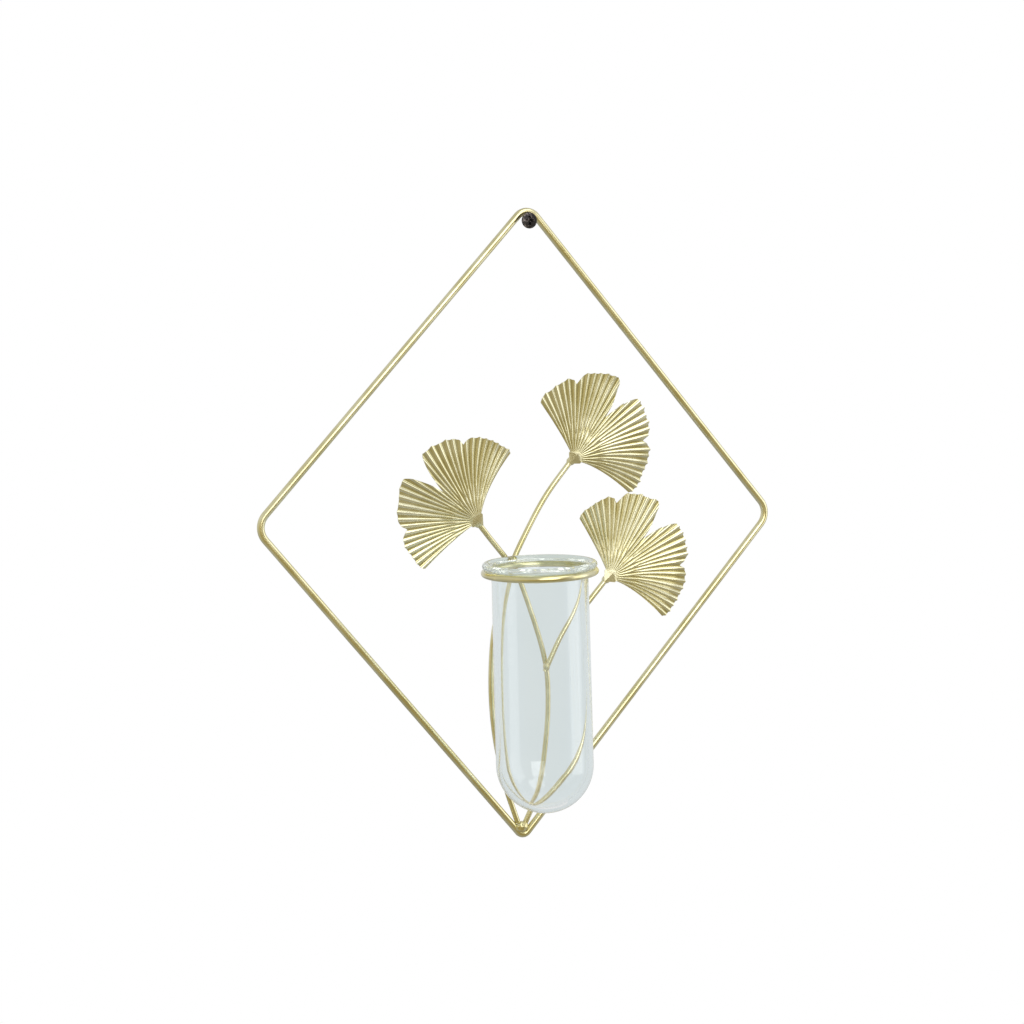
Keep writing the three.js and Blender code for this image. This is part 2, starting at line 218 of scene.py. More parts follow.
# Hanging screw, whose head sags a little in front of the wall
SCREW_SHANK = 4 * MM
SCREW_HEAD = 8.4 * MM
SCREW_SAG = Vector((-0.35, 0, -0.6)) * MM
SCREW_HEAD_CONE = 2.2 * MM
SCREW_HEAD_EDGE = 0.7 * MM
SCREW_EDGE_ROUNDING = 0.3
SCREW_SEGMENTS = 36
SCREW_SHARPNESS = 35
SCREW_IN_WALL = 26 * MM
SCREW_POINT = 6 * MM
THREAD_START = 3 * MM
THREAD_PITCH = 1.6 * MM
THREAD_DEPTH = 0.55 * MM
THREAD_CREST = 0.28
THREAD_STEPS = 12
SCREW_HEAD_DOME = 0.4 * MM
SCREW_DOME_SHARES = (0.2, 0.4, 0.6, 0.8)
RECESS_WIDTH = 5 * MM
RECESS_SLOT = 1.5 * MM
RECESS_DEPTH = 1.9 * MM
RECESS_MOUTH_SHARE = 1.15
RECESS_FLOOR_SHARE = 0.62

# Where the black finish has worn off the shank: it fades out behind the head and in the wall
WORN_FROM = (-5.25 * MM, -4.85 * MM)
WORN_TO = (0, 0.5 * MM)

# Champagne gold in its deep and its bright tone, which on the leaves also paint shade in the
# grooves and a highlight on ribs and tab
WIRE_GOLD = ((0.57, 0.505, 0.225, 1), (0.79, 0.755, 0.51, 1))
LEAF_GOLD_AND_SHEEN = ((0.57, 0.52, 0.25, 1), (0.79, 0.77, 0.56, 1))

# Soft lamps, aimed at the middle of the vase: place, width, height and power in watts
LAMP_AIM = (0, 0, -0.16)
LAMPS = {
    "key_soft_box": ((-0.03, -1.2, 0.285), 0.81, 0.94, 5.5),
    "top_soft_box": ((0.25, -0.6, 0.95), 0.9, 0.7, 3.6),
    "side_soft_box": ((1.25, -0.6, 0), 0.9, 1.5, 4.2),
}

# Stage: a floor well below the vase, and the bit of wall that the screw goes into
FLOOR_DROP = 1.6
FLOOR_HALF = 1.2
SHEET_CELLS = 8
WALL_PATCH = 9.5 * MM
WALL_PATCH_MIDDLE = Vector((-5, 0, -0.5)) * MM
WALL_GAP = 0.2 * MM


class Shade:
    """An output of a shader node, so that shader maths reads as plain expressions."""

    def __init__(self, tree, socket=None):
        self.tree = tree
        self.socket = socket

    def node(self, kind, settings=None, sockets=None):
        """Adds a node: its settings first, then the values or links of its sockets."""
        node = self.tree.nodes.new(kind)
        for name, value in (settings or {}).items():
            setattr(node, name, value)
        for key, value in (sockets or {}).items():
            socket = self.find(node.inputs, key)
            if isinstance(value, Shade):
                self.tree.links.new(value.socket, socket)
            else:
                socket.default_value = value
        return Shade(self.tree, node.outputs[0] if node.outputs else None)

    @staticmethod
    def find(sockets, key):
        """A socket by its identifier, or by its name or number."""
        named = [socket for socket in sockets if socket.identifier == key]
        return named[0] if named else sockets[key]

    def out(self, key):
        """Another output of the same node."""
        return Shade(self.tree, self.find(self.socket.node.outputs, key))

    def math(self, operation, *values):
        """A Math node on numbers and outputs."""
        return self.node("ShaderNodeMath", {"operation": operation}, dict(enumerate(values)))

    def __add__(self, other):
        return self.math("ADD", self, other)

    def __radd__(self, other):
        return self.math("ADD", other, self)

    def __sub__(self, other):
        return self.math("SUBTRACT", self, other)

    def __rsub__(self, other):
        return self.math("SUBTRACT", other, self)

    def __mul__(self, other):
        return self.math("MULTIPLY", self, other)

    def __rmul__(self, other):
        return self.math("MULTIPLY", other, self)

    def above(self, low, high):
        """0 below low, 1 above high and a smooth step between."""
        return self.node(
            "ShaderNodeMapRange",
            {"interpolation_type": "SMOOTHSTEP"},
            {"Value": self, "From Min": low, "From Max": high},
        )

    def mix(self, factor, first, second):
        """A colour between two colours."""
        mixed = self.node(
            "ShaderNodeMix",
            {"data_type": "RGBA"},
            {"Factor_Float": factor, "A_Color": first, "B_Color": second},
        )
        return mixed.out("Result_Color")

    def noise(self, place, scale, detail=2.0):
        """Soft noise over the surface, with its scale per metre."""
        sockets = {"Vector": place, "Scale": scale, "Detail": detail}
        return self.node("ShaderNodeTexNoise", None, sockets)


def new_finish(name):
    """An empty material, and the place on its surface in metres."""
    material = bpy.data.materials.new(name)
    material.use_nodes = True
    material.node_tree.nodes.clear()
    place = Shade(material.node_tree).node("ShaderNodeTexCoord").out("Object")
    return material, place


def finish_surface(place, principled, height, bump_strength, bump_depth):
    """Closes a material with its bumps and its main shader."""
    normal = place.node(
        "ShaderNodeBump",
        None,
        {"Strength": bump_strength, "Distance": bump_depth, "Height": height},
    )
    surface = place.node("ShaderNodeBsdfPrincipled", None, {**principled, "Normal": normal})
    place.node("ShaderNodeOutputMaterial", None, {"Surface": surface})


def satin_gold(name, tones, painted_ridge_sheen):
    """Champagne gold lacquer on steel: fine flake, soft clouds, and on the pressed leaves
    painted highlight on the ridges and the flat tab, with painted shade in the grooves."""
    material, place = new_finish(name)
    clouds = place.noise(place, 70, 3.0)
    flake = place.noise(place, 2600, 1.0)
    peel = place.noise(place, 900, 2.0)
    tone_and_sheen = 0.3 + 0.4 * clouds.above(0.3, 0.7) + 0.15 * (flake - 0.5)
    rough = 0.2 + 0.05 * clouds.above(0.35, 0.65) + 0.02 * (flake - 0.5)
    height = peel + 0.1 * flake
    if painted_ridge_sheen:
        # Painted light: the base colour is brighter on the ribs and the flat tab as a painted
        # highlight, and darker in the grooves as painted shade
        ridge_sheen_mask = place.node("ShaderNodeAttribute", {"attribute_name": "ridge_sheen_mask"}).out("Fac")
        tone_and_sheen = tone_and_sheen + 0.6 * (ridge_sheen_mask - 0.35)
        rough = rough + 0.03 - 0.03 * ridge_sheen_mask
    finish_surface(
        place,
        {
            "Base Color": place.mix(tone_and_sheen.above(0.0, 1.0), *tones),
            "Metallic": 1.0,
            "Roughness": rough,
            "Coat Weight": 0.6,
            "Coat Roughness": 0.12,
        },
        height,
        0.12,
        0.02 * MM,
    )
    return material


def clear_glass():
    """Blown clear glass with a faint grey-blue cast, slow waves in its walls and a greener rim."""
    material, place = new_finish("clear_blown_glass")
    waves = place.noise(place, 28, 1.0)
    rim = place.node("ShaderNodeAttribute", {"attribute_name": "rim"}).out("Fac")
    tint = place.mix(waves.above(0.3, 0.7), (0.97, 0.98, 0.98, 1), (0.985, 0.99, 0.99, 1))
    tint = place.mix(rim, tint, (0.82, 0.84, 0.78, 1))
    finish_surface(
        place,
        {
            "Base Color": tint,
            "Roughness": 0.02 + 0.02 * waves,
            "IOR": 1.5,
            "Transmission Weight": 1.0,
        },
        waves,
        0.15,
        0.2 * MM,
    )
    return material


def black_phosphate():
    """Matt black phosphate on a steel screw, rubbed a little, with the shank that the frame hangs
    on worn bright."""
    material, place = new_finish("black_phosphate_steel")
    crystals = place.noise(place, 5200, 2.0)
    rubbed = place.noise(place, 620, 3.0).above(0.47, 0.68)
    depth = place.node("ShaderNodeSeparateXYZ", None, {"Vector": place}).out("Y")
    worn = depth.above(*WORN_FROM) * (1 - depth.above(*WORN_TO))
    finish = place.mix(rubbed, (0.015, 0.013, 0.013, 1), (0.2, 0.175, 0.175, 1))
    finish_surface(
        place,
        {
            "Base Color": place.mix(worn, finish, (0.55, 0.53, 0.5, 1)),
            "Metallic": 0.6,
            "Roughness": 0.42 - 0.14 * rubbed + 0.1 * (crystals - 0.5),
        },
        crystals,
        0.4,
        0.02 * MM,
    )
    return material


def pale_floor():
    """Pale studio floor that the camera sees as white, less the object's shadow."""
    material, place = new_finish("pale_studio_floor")
    rays = place.node("ShaderNodeLightPath")
    seen = rays.out("Is Camera Ray").math(
        "MAXIMUM", rays.out("Is Camera Ray"), rays.out("Is Transmission Ray")
    )
    mottle = place.noise(place, 6, 2.0)
    colour = place.mix(mottle, (0.78, 0.78, 0.78, 1), (0.82, 0.82, 0.82, 1))
    matt = place.node("ShaderNodeBsdfDiffuse", None, {"Color": colour})
    glow = place.node("ShaderNodeEmission", None, {"Strength": 1.0})
    surface = place.node("ShaderNodeMixShader", None, {0: 0.75 * seen, 1: matt, 2: glow})
    place.node("ShaderNodeOutputMaterial", None, {"Surface": surface})
    return material


def white_wall():
    """White wall round the screw: only the camera sees it, and only from the room."""
    material, place = new_finish("white_wall")
    seen = place.node("ShaderNodeLightPath").out("Is Camera Ray")
    behind = place.node("ShaderNodeNewGeometry").out("Backfacing")
    clear = place.node("ShaderNodeBsdfTransparent")
    glow = place.node("ShaderNodeEmission", None, {"Strength": 1.0})
    surface = place.node("ShaderNodeMixShader", None, {0: seen * (1 - behind), 1: clear, 2: glow})
    place.node("ShaderNodeOutputMaterial", None, {"Surface": surface})
    return material


def add_object(name, mesh, sharp_angle=None):
    """A new smooth-shaded piece, with edges above an angle kept sharp."""
    mesh.shade_smooth()
    if sharp_angle:
        mesh.set_sharp_from_angle(angle=math.radians(sharp_angle))
    piece = bpy.data.objects.new(name, mesh)
    bpy.context.scene.collection.objects.link(piece)
    return piece


def dress(piece, finish, body, slot, *nodes):
    """Gives a piece its finish and its body, and hides the solids that it stands for; its slot is
    not used.
    """
    piece.data.materials.append(finish)
    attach(piece, body)
    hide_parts(*nodes)


def round_wire(name, line, thickness, closed=False, smooth=False):
    """Round wire along a line of points, which is rounded between them if smooth."""
    curve = bpy.data.curves.new(name + "_line", "CURVE")
    curve.dimensions = "3D"
    curve.bevel_depth = thickness / 2
    curve.bevel_resolution = WIRE_ROUNDNESS
    curve.resolution_u = WIRE_STEPS
    curve.use_fill_caps = not closed
    spline = curve.splines.new("BEZIER" if smooth else "POLY")
    points = spline.bezier_points if smooth else spline.points
    points.add(len(line) - 1)
    for point, place in zip(points, line):
        if smooth:
            point.co = place
            point.handle_left_type = point.handle_right_type = "AUTO"
        else:
            point.co = (*place, 1)
    spline.use_cyclic_u = closed
    pattern = bpy.data.objects.new(name + "_line", curve)
    bpy.context.scene.collection.objects.link(pattern)
    settled = pattern.evaluated_get(bpy.context.evaluated_depsgraph_get())
    mesh = bpy.data.meshes.new_from_object(settled)
    bpy.data.objects.remove(pattern)
    return add_object(name, mesh, WIRE_SHARPNESS)


def bend(corner, before, after, radius):
    """Points round one bend of the frame, from the arm before it to the arm after it."""
    inward = (before - corner).normalized()
    outward = (after - corner).normalized()
    half_angle = inward.angle(outward) / 2
    centre = corner + (inward + outward).normalized() * radius / math.sin(half_angle)
    start = corner + inward * radius / math.tan(half_angle) - centre
    turn = start.rotation_difference(corner + outward * radius / math.tan(half_angle) - centre)
    points = []
    for step in range(BEND_STEPS + 1):
        part_turn = Matrix.Rotation(turn.angle * step / BEND_STEPS, 3, turn.axis)
        points.append(centre + part_turn @ start)
    return points


def frame_line():
    """Middle line of the diamond's wire, hung from the top of its solid."""
    half_width = FRAME_WIDTH / 2
    half_angle = math.atan2(half_width, SIDE_CORNER_DROP)
    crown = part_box("diamond_frame")[1].z - FRAME_WIRE / 2
    top_z = crown + TOP_BEND * (1 / math.sin(half_angle) - 1)
    plane = -FRAME_WIRE / 2
    corners = [
        Vector((0, plane, top_z)),
        Vector((half_width, plane, top_z - SIDE_CORNER_DROP)),
        Vector((0, plane, top_z - FRAME_HEIGHT)),
        Vector((-half_width, plane, top_z - SIDE_CORNER_DROP)),
    ]
    line = []
    for i, radius in enumerate((TOP_BEND, SIDE_BEND, BOTTOM_BEND, SIDE_BEND)):
        line += bend(corners[i], corners[i - 1], corners[(i + 1) % 4], radius)
    return line


def stem_line(node):
    """Middle line of a stem, through the rings of vertices that its solid is swept from."""
    places = {tuple(round(part, 7) for part in v.co) for v in frame["nodes"][node].data.vertices}
    rings = [[]]
    for place in sorted(places, key=lambda place: place[2]):
        if rings[-1] and place[2] - rings[-1][-1][2] > STEM_SECTION_GAP:
            rings.append([])
        rings[-1].append(place)
    return [Vector(np.mean(ring, axis=0)) for ring in rings]


def turned_mesh(name, profile, segments):
    """A closed body turned about Z from a profile of radius and height, pole to pole."""
    shape = bmesh.new()
    poles = [shape.verts.new((0, 0, profile[0][1])), shape.verts.new((0, 0, profile[-1][1]))]
    rounds = []
    for radius, height in profile[1:-1]:
        angles = [2 * math.pi * k / segments for k in range(segments)]
        rounds.append(
            [shape.verts.new((radius * math.cos(a), radius * math.sin(a), height)) for a in angles]
        )
    for k in range(segments):
        after = (k + 1) % segments
        shape.faces.new((poles[0], rounds[0][after], rounds[0][k]))
        shape.faces.new((poles[1], rounds[-1][k], rounds[-1][after]))
        for low, high in zip(rounds, rounds[1:]):
            shape.faces.new((low[k], low[after], high[after], high[k]))
    mesh = bpy.data.meshes.new(name)
    shape.to_mesh(mesh)
    shape.free()
    return mesh


def arc(centre, radii, start, end, steps):
    """Points on an arc of a circle or an ellipse."""
    points = []
    for angle in np.linspace(start, end, steps + 1):
        reach = radii[0] * math.cos(angle)
        rise = radii[1] * math.sin(angle)
        points.append((centre[0] + reach, centre[1] + rise))
    return points


def sweep(start, middle, end, steps):
    """Points on a quadratic curve, without its first point."""
    points = []
    for share in np.linspace(0, 1, steps + 1)[1:]:
        weights = ((1 - share) ** 2, 2 * share * (1 - share), share**2)
        points.append(tuple(np.dot(weights, (start, middle, end))))
    return points


def glass_tube(ring_radius):
    """The glass tube about Z, with the ring's plane at height 0."""
    neck = TUBE_NECK / 2
    belly = TUBE_BELLY / 2
    bore = neck - TUBE_WALL
    bead = RIM_BEAD / 2
    bead_centre = ring_radius + RIM_OVERHANG - bead
    touch = RING_WIRE / 2 + bead + SEAT_GAP
    bead_height = math.sqrt(touch**2 - (ring_radius - bead_centre) ** 2)
    bottom = bead_height + bead - TUBE_LENGTH
    shoulder = -RING_WIRE / 2
    ease = NECK_EASE * (belly - neck)
    lip = (bead_centre + bead * math.cos(LIP_ANGLE), bead_height - bead * math.sin(LIP_ANGLE))
    inner_lip = (lip[0], 2 * bead_height - lip[1])
    bowl = (0, bottom + belly)
    bowl_inside = (belly - TUBE_WALL, belly - TUBE_FLOOR)
    profile = arc(bowl, (belly, belly), -math.pi / 2, 0, BOTTOM_STEPS)
    profile += sweep(profile[-1], (neck + ease, shoulder), (neck, shoulder), WALL_STEPS)
    profile += sweep((neck, shoulder), (neck, 0), lip, LIP_STEPS)
    bead_middle = (bead_centre, bead_height)
    profile += arc(bead_middle, (bead, bead), -LIP_ANGLE, LIP_ANGLE, BEAD_STEPS)[1:]
    profile += sweep(inner_lip, (bore + MOUTH_FLARE, bead_height), (bore, shoulder), LIP_STEPS)
    inside = arc(bowl, bowl_inside, 0, -math.pi / 2, BOTTOM_STEPS)
    profile += sweep((bore, shoulder), (bore + ease, shoulder), inside[0], WALL_STEPS)
    profile += inside[1:]
    mesh = turned_mesh("glass_tube_blown", profile, TUBE_SEGMENTS)
    rims = [min(max(vert.co.z / bead_height + RIM_TINT_START, 0), 1) for vert in mesh.vertices]
    mesh.attributes.new("rim", "FLOAT", "POINT").data.foreach_set("value", rims)
    return mesh


def leaf_reach(turn, leaf):
    """How far the leaf's edge is from its root in each direction."""
    trim, right_trim, drawn_tips = np.array(leaf["cut"]) * MM
    away = np.maximum(np.abs(turn) - LEAF_SHOULDER, 0) / (LEAF_FAN / 2 - LEAF_SHOULDER)
    longest = LEAF_REACH - trim - np.where(turn > 0, right_trim, 0)
    tips = LEAF_TIP_REACH + drawn_tips + np.where(turn > 0, TIP_STEP, 0)
    reach = longest + (tips - longest) * away
    for i, pleat in enumerate(leaf["notches"]):
        depth, spread = (NOTCH_DEPTH, NOTCH_SPREAD) if i == 1 else (NICK_DEPTH, NICK_SPREAD)
        centre = LEAF_FAN * (pleat / PLEATS - 0.5)
        reach = reach - depth * np.maximum(1 - np.abs(turn - centre) / spread, 0) ** NOTCH_CURVE
    return reach


def leaf_sheet(name, leaf):
    """One pressed leaf: its root at the origin, its axis along Z and its front towards -Y."""
    random = np.random.default_rng(leaf["seed"])
    count = np.arange(PLEATS * PLEAT_COLUMNS + 1) / PLEAT_COLUMNS
    columns = (0, 1 / 6, 5 / 6, 1)
    in_pleat = np.interp(
        count % 1, columns, (0, 0.5 - RIB_SHARE / 2, 0.5 + RIB_SHARE / 2, 1)
    )
    pleat = np.floor(count) + in_pleat
    rib = np.maximum(np.cos(np.pi * (in_pleat - 0.5) / RIB_SHARE), 0)
    trunk = np.maximum(np.cos(np.pi * (pleat % 2 - 1) / (2 * RIB_SHARE)), 0)
    middles = np.arange(PLEATS) + 0.5
    uneven = np.interp(pleat, middles, random.uniform(RIB_LEAST, 1.0, PLEATS))
    ragged = np.interp(pleat, middles, random.uniform(-1, 1, PLEATS))
    wander = np.interp(pleat, middles, random.uniform(-RIB_WANDER, RIB_WANDER, PLEATS))
    across = np.clip((pleat + wander) / PLEATS * 2 - 1, -1, 1)
    across[0], across[-1] = -1, 1

    turn = across * LEAF_FAN / 2
    slope = 1 - np.abs(across)
    corner = np.maximum(1 - slope / TIP_CORNER, 0) ** 2
    reach = leaf_reach(turn, leaf) + SCALLOP * (rib - 0.5) + RAGGED_EDGE * ragged
    reach = reach - TIP_ROUNDING * corner
    tab_side = across * TAB_WIDTH / 2
    tail = np.stack([tab_side, -TAB_EDGE / 2 - (TAB_TAIL - TAB_EDGE / 2) * slope], axis=-1)
    root = np.stack([tab_side, TAB_EDGE / 2 + (TAB_NOSE - TAB_EDGE / 2) * slope], axis=-1)
    edge = np.stack([np.sin(turn), np.cos(turn)], axis=-1) * reach[:, None]
    splay_turn = np.where(turn > 0, RIGHT_SPLAY, LEFT_SPLAY) * turn
    splay = np.stack([np.sin(splay_turn), np.cos(splay_turn)], axis=-1)
    bow = root + VEIN_BOW * np.linalg.norm(edge - root, axis=-1)[:, None] * splay
    edge_roll = np.interp(across, (-EDGE_ROLL_BLEND, EDGE_ROLL_BLEND), leaf["rolled"]) * MM

    flat_rows = []
    heights = []
    ridge_sheen_masks = []
    for share in np.linspace(0, 1, TAB_ROWS + 1)[:-1]:
        flat_rows.append(tail + (root - tail) * share)
        heights.append(-TAB_CROWN * 4 * share * (1 - share) * slope)
        # The flat tab gets the full mask, which paints it brighter as a highlight
        ridge_sheen_masks.append(np.ones_like(across))
    for share in np.linspace(0, 1, LEAF_ROWS + 1):
        spot = (1 - share) ** 2 * root + 2 * share * (1 - share) * bow + share**2 * edge
        radius = np.linalg.norm(spot, axis=-1)
        at_edge = max((share - EDGE_ROLL_START) / (1 - EDGE_ROLL_START), 0)
        cup = LEAF_CUP * (radius / LEAF_REACH) ** 2 - edge_roll * at_edge**2
        pitch = radius * LEAF_FAN / PLEATS
        forked = min(max((share - FORK_START) / (FORK_END - FORK_START), 0), 1)
        start = RIB_START * min(RIB_FADE_IN * share, 1)
        ribs = forked * rib * (start + RIB_STEEPNESS * pitch)
        trunks = (1 - forked) * trunk * (start + RIB_STEEPNESS * 2 * pitch)
        flat_rows.append(spot)
        valley = VALLEY_DEPTH * min(VALLEY_FADE_IN * share, 1)
        heights.append(valley - (ribs + trunks) * uneven - cup)
        ridge_sheen_masks.append(forked * rib + (1 - forked) * trunk)
    flat = np.array(flat_rows)
    heights = np.array(heights)
    speck_rows = TAB_ROWS + random.integers(LEAF_ROWS // 5, LEAF_ROWS // 2, SPECKS)
    speck_ridges = (random.integers(2, PLEATS - 2, SPECKS) + 0.5) * PLEAT_COLUMNS
    heights[speck_rows, speck_ridges.astype(int)] -= SPECK_HEIGHT
    front = np.stack([flat[..., 0], heights - LEAF_SHEET, flat[..., 1]], axis=-1)
    back = front + np.array([0, LEAF_SHEET, 0])

    rows, columns = front.shape[:2]
    skin = rows * columns
    number = np.arange(skin).reshape(rows, columns)
    corners = (number[:-1, :-1], number[:-1, 1:], number[1:, 1:], number[1:, :-1])
    cells = np.stack(corners, axis=-1).reshape(-1, 4)
    rim = np.concatenate([number[0, :-1], number[:-1, -1], number[-1, :0:-1], number[:0:-1, 0]])
    after = np.roll(rim, -1)
    walls = np.stack([rim, rim + skin, after + skin, after], axis=-1)
    faces = np.concatenate([cells, cells[:, ::-1] + skin, walls])
    points = np.concatenate([front.reshape(-1, 3), back.reshape(-1, 3)])
    mesh = bpy.data.meshes.new(name)
    mesh.from_pydata(points.tolist(), [], faces.tolist())
    # This mask paints a highlight on the ribs and tab and shade in the grooves of the leaf's gold
    ridge_sheen_mask = mesh.attributes.new("ridge_sheen_mask", "FLOAT", "POINT")
    ridge_sheen_mask.data.foreach_set("value", np.tile(np.ravel(ridge_sheen_masks), 2))
    return mesh


def middle_and_half(node):
    """The middle of a solid's box and its half widths."""
    low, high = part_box(node)
    return (low + high) / 2, (high - low) / 2


def weld_lump(name, middle, half, wrinkle):
    """A lump of weld of three half widths, with the soft ripples of molten metal."""
    shape = bmesh.new()
    bmesh.ops.create_icosphere(shape, subdivisions=WELD_FINENESS, radius=1)
    for vert in shape.verts:
        height = noise.noise(vert.co * RIPPLES_ROUND + middle * RIPPLES_PER_METRE)
        ripple = 1 + wrinkle * (height - RIPPLE_MIDDLE)
        vert.co = middle + Vector(a * b * ripple for a, b in zip(vert.co, half))
    mesh = bpy.data.meshes.new(name)
    shape.to_mesh(mesh)
    shape.free()
    return add_object(name, mesh)


def hanging_screw():
    """Countersunk wood screw along Y: rounded head, tapered cross recess, helical thread."""
    shank = SCREW_SHANK / 2
    head = SCREW_HEAD / 2
    head_back = -FRAME_WIRE - SEAT_GAP
    head_front = head_back - SCREW_HEAD_CONE - SCREW_HEAD_EDGE
    soft = SCREW_EDGE_ROUNDING * SCREW_HEAD_EDGE
    rows = []
    for share in SCREW_DOME_SHARES:
        rows.append((share * head, head_front - SCREW_HEAD_DOME * (1 - share**2)))
    rows.append((head - soft, head_front))
    rows += arc((head - soft, head_front + soft), (soft, soft), -math.pi / 2, 0, 6)[1:]
    rows += [(head, head_front + SCREW_HEAD_EDGE), (shank, head_back), (shank, THREAD_START)]
    steps = round((SCREW_IN_WALL - THREAD_START) / THREAD_PITCH * THREAD_STEPS)
    for depth in np.linspace(THREAD_START, SCREW_IN_WALL, steps + 1)[1:-1]:
        rows.append((None, depth))
    shape = bmesh.new()
    front = shape.verts.new(SCREW_SAG + Vector((0, head_front - SCREW_HEAD_DOME, 0)))
    point = shape.verts.new((0, SCREW_IN_WALL, 0))
    rounds = []
    for radius, depth in rows:
        verts = []
        for k in range(SCREW_SEGMENTS):
            angle = 2 * math.pi * k / SCREW_SEGMENTS
            here = radius
            if radius is None:
                phase = (depth / THREAD_PITCH - k / SCREW_SEGMENTS) % 1
                crest = max(1 - abs(phase - 0.5) / THREAD_CREST, 0)
                run_in = min((depth - THREAD_START) / THREAD_PITCH, 1)
                taper = min((SCREW_IN_WALL - depth) / SCREW_POINT, 1)
                here = taper * (shank - THREAD_DEPTH * run_in * (1 - crest))
            middle = SCREW_SAG * max(depth / head_front, 0)
            spoke = Vector((math.cos(angle), 0, math.sin(angle))) * here
            verts.append(shape.verts.new(middle + spoke + Vector((0, depth, 0))))
        rounds.append(verts)
    for k in range(SCREW_SEGMENTS):
        after = (k + 1) % SCREW_SEGMENTS
        shape.faces.new((front, rounds[0][k], rounds[0][after]))
        shape.faces.new((point, rounds[-1][after], rounds[-1][k]))
        for near, far in zip(rounds, rounds[1:]):
            shape.faces.new((near[k], far[k], far[after], near[after]))
    mesh = bpy.data.meshes.new("hanging_screw_threaded")
    shape.to_mesh(mesh)
    shape.free()
    screw = add_object("hanging_screw_threaded", mesh)
    for wide, tall in ((RECESS_WIDTH, RECESS_SLOT), (RECESS_SLOT, RECESS_WIDTH)):
        cut_slot(screw, wide, tall, head_front)
    screw.data.shade_smooth()
    screw.data.set_sharp_from_angle(angle=math.radians(SCREW_SHARPNESS))
    return screw


def cut_slot(screw, wide, tall, head_front):
    """Cuts one arm of the cross recess, narrower at its floor."""
    shape = bmesh.new()
    bmesh.ops.create_cube(shape, size=1)
    for vert in shape.verts:
        floor = vert.co.y > 0
        narrow = RECESS_FLOOR_SHARE if floor else RECESS_MOUTH_SHARE
        depth = RECESS_DEPTH if floor else -RECESS_DEPTH
        side = narrow if wide > tall else 0.5 + 0.5 * narrow
        rise = narrow if tall > wide else 0.5 + 0.5 * narrow
        spot = Vector((vert.co.x * wide * side, head_front + depth, vert.co.z * tall * rise))
        vert.co = SCREW_SAG + spot
    mesh = bpy.data.meshes.new("recess_cutter")
    shape.to_mesh(mesh)
    shape.free()
    cutter = bpy.data.objects.new("recess_cutter", mesh)
    bpy.context.scene.collection.objects.link(cutter)
    cut = screw.modifiers.new("recess", "BOOLEAN")
    cut.operation = "DIFFERENCE"
    cut.object = cutter
    bpy.context.view_layer.update()
    settled = screw.evaluated_get(bpy.context.evaluated_depsgraph_get())
    screw.data = bpy.data.meshes.new_from_object(settled)
    screw.modifiers.clear()
    bpy.data.objects.remove(cutter)


def add_camera():
    """The photograph's camera, with no depth of field."""
    ahead = Vector((
        math.sin(CAMERA_YAW) * math.cos(CAMERA_TILT),
        math.cos(CAMERA_YAW) * math.cos(CAMERA_TILT),
        -math.sin(CAMERA_TILT),
    ))
    level = Vector((math.cos(CAMERA_YAW), -math.sin(CAMERA_YAW), 0))
    above = level.cross(ahead)
    right = level * math.cos(CAMERA_ROLL) + above * math.sin(CAMERA_ROLL)
    up = above * math.cos(CAMERA_ROLL) - level * math.sin(CAMERA_ROLL)
    lens = bpy.data.cameras.new("photograph")
    lens.sensor_width = SENSOR_WIDTH
    lens.lens = FOCAL_PIXELS / IMAGE_PIXELS * SENSOR_WIDTH
    camera = bpy.data.objects.new("photograph", lens)
    turn = Matrix((right, up, -ahead)).transposed().to_4x4()
    camera.matrix_world = Matrix.Translation(CAMERA_PLACE) @ turn
    bpy.context.scene.collection.objects.link(camera)
    bpy.context.scene.camera = camera


def soft_box(name, place, width, height, power):
    """A rectangular studio lamp at a place, turned to the vase."""
    lamp = bpy.data.lights.new(name, "AREA")
    lamp.shape = "RECTANGLE"
    lamp.size = width
    lamp.size_y = height
    lamp.energy = power
    holder = bpy.data.objects.new(name, lamp)
    holder.location = place
    aim = Vector(LAMP_AIM) - Vector(place)
    holder.rotation_euler = aim.to_track_quat("-Z", "Y").to_euler()
    bpy.context.scene.collection.objects.link(holder)


